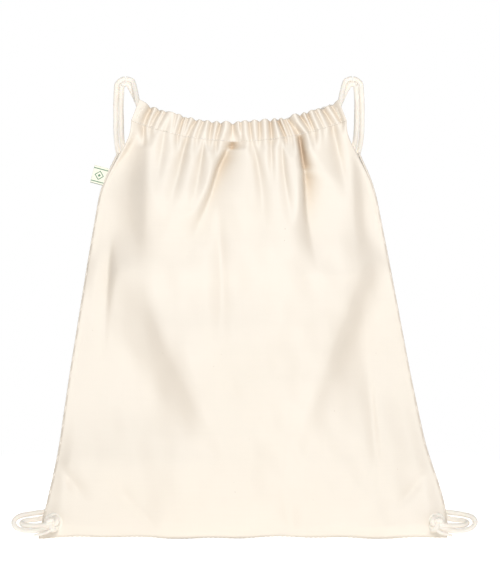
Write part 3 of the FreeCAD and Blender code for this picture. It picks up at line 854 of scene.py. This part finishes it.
def eyelet_ring(name, side, thread):
    """Buttonhole stitches wound round the hole: a flattened ring with a ridge for each thread."""
    outer = (EYELET_HI.x - EYELET_LO.x) / 2
    inner = 0.50 * outer
    middle, tube = (outer + inner) / 2, (outer - inner) / 2
    half = (EYELET_HI.y - EYELET_LO.y) / 2
    wraps = 44
    rings, segments = wraps * 6, 16
    turn = np.linspace(0, 2 * math.pi, rings, endpoint=False)
    around = np.linspace(0, 2 * math.pi, segments, endpoint=False)
    ridge = 1 + 0.07 * np.abs(np.sin(turn * wraps / 2))[:, None]

    def squarish(value):
        return np.sign(value) * np.abs(value) ** 0.7

    r = middle + tube * squarish(np.cos(around))[None] * ridge
    y = half * squarish(np.sin(around))[None] * ridge * (1 - 0.12 * np.cos(around)[None])
    x = side * abs(CORNER.x) + r * np.cos(turn)[:, None]
    z = CORNER.z + r * np.sin(turn)[:, None]
    co = np.stack([x, y + 0 * x, z], axis=-1).reshape(-1, 3)
    faces = []
    for i in range(rings):
        j = (i + 1) % rings
        for c in range(segments):
            d = (c + 1) % segments
            faces.append((i * segments + c, i * segments + d, j * segments + d, j * segments + c))
    obj = add_mesh(f"{name}_eyelet_ring", co, faces, thread)
    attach(obj, ROOT)
    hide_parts(f"{name}_eyelet")


# ---------------------------------------------------------------- label


def label_pieces(label_material, thread):
    """The folded woven label and the stitches that hold it."""
    joint = next(j for j in frame["joints"] if j["name"] == "label_flip")
    hinge = Vector(joint["pos_m"])
    up = Vector(joint["axis"]).normalized()
    out = Vector((-up.z, 0, up.x))
    reach = 13.0 * MM
    tuck = 3.6 * MM
    height = 17.0 * MM
    columns, rows = 40, 34
    co = []
    for i in range(rows):
        for j in range(columns):
            across = -tuck + (reach + tuck) * j / (columns - 1)
            rise = height * (i / (rows - 1) - 0.5)
            curl = 0.9 * MM * math.sin(across / reach * 2.2) * (0.6 + i / rows)
            co.append(hinge + out * across + up * rise + Vector((0, -0.2 * MM - curl * 0.5, 0)))
    faces = grid_faces(rows, columns)
    obj = add_mesh("woven_label", [tuple(p) for p in co], faces, label_material, leaning=False)
    thicken(obj, 0.7 * MM, offset=0)
    distance = np.array([(Vector(p) - hinge).dot(out) for p in vertices_of(obj)])
    set_weights(obj, smoothstep(distance, -1.0 * MM, 2.5 * MM))
    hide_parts("label")

    line = np.array([tuple(hinge - out * 1.6 * MM + up * height * s - Vector((0, 0.75 * MM, 0)))
                     for s in np.linspace(-0.5, 0.5, 30)])
    co, faces = stitch_row(line, 1.9 * MM, 0.6 * MM, 0.2 * MM)
    stitches = add_mesh("label_thread", co, faces, thread, leaning=False)
    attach(stitches, "label_edge")
    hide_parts("label_stitching")


# ---------------------------------------------------------------- materials


class Nodes:
    """Short names for building a node tree."""

    def __init__(self, name):
        self.material = bpy.data.materials.new(name)
        self.material.use_nodes = True
        self.tree = self.material.node_tree
        self.shader = self.tree.nodes["Principled BSDF"]

    def add(self, kind, inputs=None, **properties):
        node = self.tree.nodes.new(kind)
        for key, value in properties.items():
            setattr(node, key, value)
        for key, value in (inputs or {}).items():
            self.plug(value, node.inputs[key])
        return node

    def plug(self, value, socket):
        if isinstance(value, bpy.types.NodeSocket):
            self.tree.links.new(value, socket)
        else:
            socket.default_value = value

    def math(self, operation, a, b=0.0, c=0.0):
        node = self.add("ShaderNodeMath", operation=operation)
        for value, socket in zip((a, b, c), node.inputs):
            self.plug(value, socket)
        return node.outputs[0]

    def scaled(self, scale):
        """Object coordinates stretched by three factors."""
        place = self.add("ShaderNodeTexCoord").outputs["Object"]
        return self.add("ShaderNodeMapping", {"Vector": place, "Scale": scale}).outputs[0]

    def noise(self, scale, detail=3.0, stretch=(1, 1, 1)):
        inputs = {"Vector": self.scaled(stretch), "Scale": scale, "Detail": detail}
        return self.add("ShaderNodeTexNoise", inputs).outputs["Fac"]

    def ramp(self, value, stops):
        node = self.add("ShaderNodeValToRGB", {"Fac": value})
        while len(node.color_ramp.elements) < len(stops):
            node.color_ramp.elements.new(0.5)
        for element, (place, colour) in zip(node.color_ramp.elements, stops):
            element.position = place
            element.color = (*colour, 1)
        return node.outputs["Color"]

    def mix(self, share, a, b, mode="MIX"):
        node = self.add("ShaderNodeMix", data_type="RGBA", blend_type=mode)
        self.plug(share, node.inputs[0])
        for value, socket in ((a, node.inputs[6]), (b, node.inputs[7])):
            self.plug((*value, 1) if isinstance(value, tuple) and len(value) == 3 else value, socket)
        return node.outputs[2]

    def bump(self, heights):
        """Stacks (height, strength, distance) bumps and plugs them into the shader."""
        normal = None
        for height, strength, distance in heights:
            inputs = {"Height": height, "Strength": strength, "Distance": distance}
            node = self.add("ShaderNodeBump", inputs)
            if normal:
                self.tree.links.new(normal, node.inputs["Normal"])
            normal = node.outputs[0]
        self.tree.links.new(normal, self.shader.inputs["Normal"])

    def finish(self, colour, roughness, sheen=0.25, soft=0.08):
        self.plug(colour, self.shader.inputs["Base Color"])
        self.plug(roughness, self.shader.inputs["Roughness"])
        self.shader.inputs["Specular IOR Level"].default_value = 0.2
        self.shader.inputs["Sheen Weight"].default_value = sheen
        self.shader.inputs["Sheen Roughness"].default_value = 0.5
        self.shader.inputs["Subsurface Weight"].default_value = soft
        self.shader.inputs["Subsurface Radius"].default_value = (0.004, 0.0025, 0.0015)
        return self.material


def thread_wave(n, axis, pitch):
    """A sine across one axis with one cycle per pair of threads, wandering slightly."""
    place = n.add("ShaderNodeSeparateXYZ", {0: n.scaled((1, 1, 1))}).outputs[axis]
    wander = n.math("MULTIPLY", n.noise(60.0, 2.0), 3.0)
    return n.math("SINE", n.math("ADD", n.math("MULTIPLY", place, 2 * math.pi / pitch), wander))


def plain_weave(n, pitch):
    return n.math("MULTIPLY", thread_wave(n, 0, pitch), thread_wave(n, 2, pitch))


def calico_material():
    n = Nodes("calico")
    weave = plain_weave(n, 1.1 * MM)
    slub_weft = n.noise(26.0, 2.0, (1.0, 1.0, 60.0))
    slub_warp = n.noise(26.0, 2.0, (60.0, 1.0, 1.0))
    broad = n.noise(9.0, 3.0)
    cream = n.ramp(broad, [(0.3, (0.785, 0.725, 0.64)), (0.7, (0.82, 0.76, 0.68))])
    cream = n.mix(n.math("MULTIPLY", slub_weft, 0.20), cream, (0.89, 0.84, 0.76))
    cream = n.mix(n.math("MULTIPLY", slub_warp, 0.12), cream, (0.72, 0.65, 0.54))
    cream = n.mix(n.math("MULTIPLY", n.math("ABSOLUTE", weave), 0.05), cream, (0.68, 0.60, 0.48))
    cell = n.add("ShaderNodeTexVoronoi", {"Vector": n.scaled((1.0, 1.0, 0.7)), "Scale": 150.0}, feature="F1")
    random = n.add("ShaderNodeSeparateColor", {0: cell.outputs["Color"]}).outputs
    chance = n.math("GREATER_THAN", random[0], 0.74)
    size = n.math("MULTIPLY", random[1], 0.062)
    seed = n.math("MULTIPLY", chance, n.math("LESS_THAN", cell.outputs["Distance"], size))
    cream = n.mix(n.math("MULTIPLY", seed, 0.38), cream, (0.33, 0.22, 0.12))
    # Painted shade: ambient occlusion darkens and warms the colour in deep folds, standing in for light
    # bounced about in them.
    reach = {"Distance": 30.0 * MM}
    open_sky = n.add("ShaderNodeAmbientOcclusion", reach, samples=8, only_local=True).outputs["AO"]
    fold_shade_stops = [(0.15, (0.60, 0.45, 0.31)), (0.55, (0.92, 0.85, 0.76)), (0.92, (1.0, 1.0, 1.0))]
    painted_fold_shade = n.ramp(open_sky, fold_shade_stops)
    cream = n.mix(1.0, cream, painted_fold_shade, "MULTIPLY")
    # Painted shade: the colour darkens and warms where the cloth turns sideways, away from the lamps in
    # front and behind.
    normal = n.add("ShaderNodeSeparateXYZ", {0: n.add("ShaderNodeNewGeometry").outputs["Normal"]}).outputs
    sideways = {"Value": n.math("ABSOLUTE", normal[0]), "From Min": 0.10, "From Max": 0.55}
    painted_side_shade = n.add("ShaderNodeMapRange", sideways)
    cream = n.mix(n.math("MULTIPLY", painted_side_shade.outputs[0], 0.42), cream, (0.60, 0.52, 0.43))
    n.bump([(weave, 0.22, 0.10 * MM), (slub_weft, 0.25, 0.15 * MM), (n.noise(900.0, 2.0), 0.15, 0.10 * MM)])
    return n.finish(cream, 0.9, sheen=0.08, soft=0.0)


def cord_material():
    n = Nodes("cord")
    fibre = n.noise(1400.0, 3.0, (1.0, 1.0, 0.35))
    tone = n.ramp(n.noise(45.0, 3.0), [(0.3, (0.83, 0.775, 0.695)), (0.75, (0.90, 0.855, 0.785))])
    tone = n.mix(n.math("MULTIPLY", fibre, 0.12), tone, (0.74, 0.67, 0.56))
    n.bump([(fibre, 0.25, 0.10 * MM), (n.noise(500.0, 2.0), 0.15, 0.12 * MM)])
    return n.finish(tone, 0.85, sheen=0.35, soft=0.10)


def thread_material():
    n = Nodes("thread")
    ply = n.noise(2600.0, 2.0, (1.0, 1.0, 0.5))
    tone = n.ramp(n.noise(120.0, 2.0), [(0.3, (0.86, 0.81, 0.73)), (0.7, (0.92, 0.88, 0.81))])
    n.bump([(ply, 0.35, 0.06 * MM)])
    return n.finish(tone, 0.7, sheen=0.3, soft=0.05)


def label_material():
    """Pale woven ground with two green stripes and a small diamond, worked out from the hinge line."""
    n = Nodes("woven_label")
    joint = next(j for j in frame["joints"] if j["name"] == "label_flip")
    hinge, up = Vector(joint["pos_m"]), Vector(joint["axis"]).normalized()
    middle = hinge + Vector((-up.z, 0, up.x)) * 6.4 * MM
    place = n.add("ShaderNodeSeparateXYZ", {0: n.scaled((1, 1, 1))}).outputs
    dx = n.math("SUBTRACT", place[0], middle.x)
    dz = n.math("SUBTRACT", place[2], middle.z)
    rise = n.math("ADD", n.math("MULTIPLY", dx, up.x), n.math("MULTIPLY", dz, up.z))
    across = n.math("SUBTRACT", n.math("MULTIPLY", dx, up.z), n.math("MULTIPLY", dz, up.x))
    spread = n.math("ADD", n.math("ABSOLUTE", rise), n.math("ABSOLUTE", across))
    outline = n.math("COMPARE", spread, 4.0 * MM, 0.55 * MM)
    core = n.math("LESS_THAN", spread, 1.5 * MM)
    stripes = n.math("COMPARE", n.math("ABSOLUTE", rise), 6.1 * MM, 0.45 * MM)
    lower_edge = n.math("LESS_THAN", rise, -7.9 * MM)
    mark = n.math("MINIMUM", n.math("ADD", n.math("ADD", outline, core), stripes), 1.0)
    floats = n.math("ABSOLUTE", thread_wave(n, 2, 0.5 * MM))
    ground = n.mix(n.noise(300.0, 2.0), (0.80, 0.80, 0.66), (0.88, 0.88, 0.76))
    green = n.mix(floats, (0.06, 0.17, 0.10), (0.12, 0.27, 0.16))
    colour = n.mix(n.math("MULTIPLY", mark, 0.9), ground, green)
    colour = n.mix(n.math("MULTIPLY", lower_edge, 0.8), colour, (0.10, 0.14, 0.09))
    n.bump([(n.math("ADD", floats, n.math("MULTIPLY", mark, 0.8)), 0.5, 0.08 * MM)])
    return n.finish(colour, 0.6, sheen=0.2, soft=0.0)


# ---------------------------------------------------------------- studio


def floor_material():
    """Pale near the bag and pure white further off, so that it meets the white surround."""
    n = Nodes("floor")
    place = n.add("ShaderNodeVectorMath", {0: n.scaled((1, 1, 1))}, operation="LENGTH").outputs["Value"]
    fade = {"Value": place, "From Min": 0.35, "From Max": 1.4}
    far = n.add("ShaderNodeMapRange", fade, interpolation_type="SMOOTHSTEP")
    n.shader.inputs["Base Color"].default_value = (0.93, 0.93, 0.93, 1)
    n.shader.inputs["Roughness"].default_value = 0.9
    n.shader.inputs["Specular IOR Level"].default_value = 0.1
    n.shader.inputs["Emission Color"].default_value = (1, 1, 1, 1)
    n.shader.inputs["Emission Strength"].default_value = 0.42
    white = n.add("ShaderNodeEmission", {"Color": (1, 1, 1, 1), "Strength": 1.0})
    mixed = n.add("ShaderNodeMixShader", {0: far.outputs[0], 1: n.shader.outputs[0], 2: white.outputs[0]})
    n.tree.links.new(mixed.outputs[0], n.tree.nodes["Material Output"].inputs["Surface"])
    return n.material


def make_floor():
    size = 12.0
    co = [(-size, -size, 0), (size, -size, 0), (size, size, 0), (-size, size, 0)]
    mesh = bpy.data.meshes.new("floor")
    drop = -1.0 * MM
    mesh.from_pydata([(x, y, drop) for x, y, _ in co], [], [(0, 1, 2, 3)])
    mesh.materials.append(floor_material())
    obj = bpy.data.objects.new("floor", mesh)
    bpy.context.scene.collection.objects.link(obj)


def area_light(name, place, target, size, power):
    data = bpy.data.lights.new(name, "AREA")
    data.shape = "DISK"
    data.size = size
    data.energy = power
    obj = bpy.data.objects.new(name, data)
    obj.location = place
    obj.rotation_euler = (Vector(target) - Vector(place)).to_track_quat("-Z", "Y").to_euler()
    bpy.context.scene.collection.objects.link(obj)


def studio():
    """The camera sees a white surround that lights the bag only softly; a large lamp stands on each side."""
    world = bpy.data.worlds.new("studio")
    world.use_nodes = True
    tree = world.node_tree
    tree.nodes["Background"].inputs["Color"].default_value = (1, 1, 1, 1)
    path = tree.nodes.new("ShaderNodeLightPath")
    strength = tree.nodes.new("ShaderNodeMapRange")
    strength.inputs["To Min"].default_value = 0.20
    strength.inputs["To Max"].default_value = 1.0
    tree.links.new(path.outputs["Is Camera Ray"], strength.inputs["Value"])
    tree.links.new(strength.outputs[0], tree.nodes["Background"].inputs["Strength"])
    bpy.context.scene.world = world
    target = (0, 0, 0.22)
    area_light("key", (0.15, -2.3, 1.35), target, 1.0, 46)
    area_light("rear_key", (-0.15, 2.3, 1.35), target, 1.0, 46)
    make_floor()


def camera():
    """Straight on from the front, a long lens, just above the middle of the bag."""
    data = bpy.data.cameras.new("camera")
    data.lens = 200
    data.sensor_width = 36
    image_w, image_h = 500, 582
    metres_per_pixel = 0.94 * MM
    distance = data.lens / data.sensor_width * image_h * metres_per_pixel
    centre = Vector((6.6 * MM, 0, 0.232))
    tilt = math.radians(0.5)
    obj = bpy.data.objects.new("camera", data)
    obj.location = centre + Vector((0, -math.cos(tilt), math.sin(tilt))) * distance
    obj.rotation_euler = (math.pi / 2 - tilt, 0, 0)
    bpy.context.scene.collection.objects.link(obj)
    bpy.context.scene.camera = obj
    bpy.context.scene.view_settings.view_transform = "Standard"


# ---------------------------------------------------------------- build


def build():
    calico, cord = calico_material(), cord_material()
    thread, label = thread_material(), label_material()
    for face_name, face in FACES.items():
        cloth_panel(face_name, face, calico)
        casing_tube(face_name, face, calico)
        casing_stitching(face_name, face, thread)
        for side_name, side in SIDES.items():
            bar_tack(side_name, side, face_name, face, thread)
    bottom_seam(calico)
    for name, side in SIDES.items():
        side_seam(name, side, calico)
        eyelet_ring(name, side, thread)
        casing_cord(name, side, cord)
        strap_bridge(name, side, cord)
        shoulder_strap(name, side, cord)
        corner_loop(name, side, cord)
        stopper_knot(name, side, cord)
        eyelet_tie(name, side, cord)
        cord_tail(name, side, cord)
    label_pieces(label, thread)
    studio()
    camera()


build()
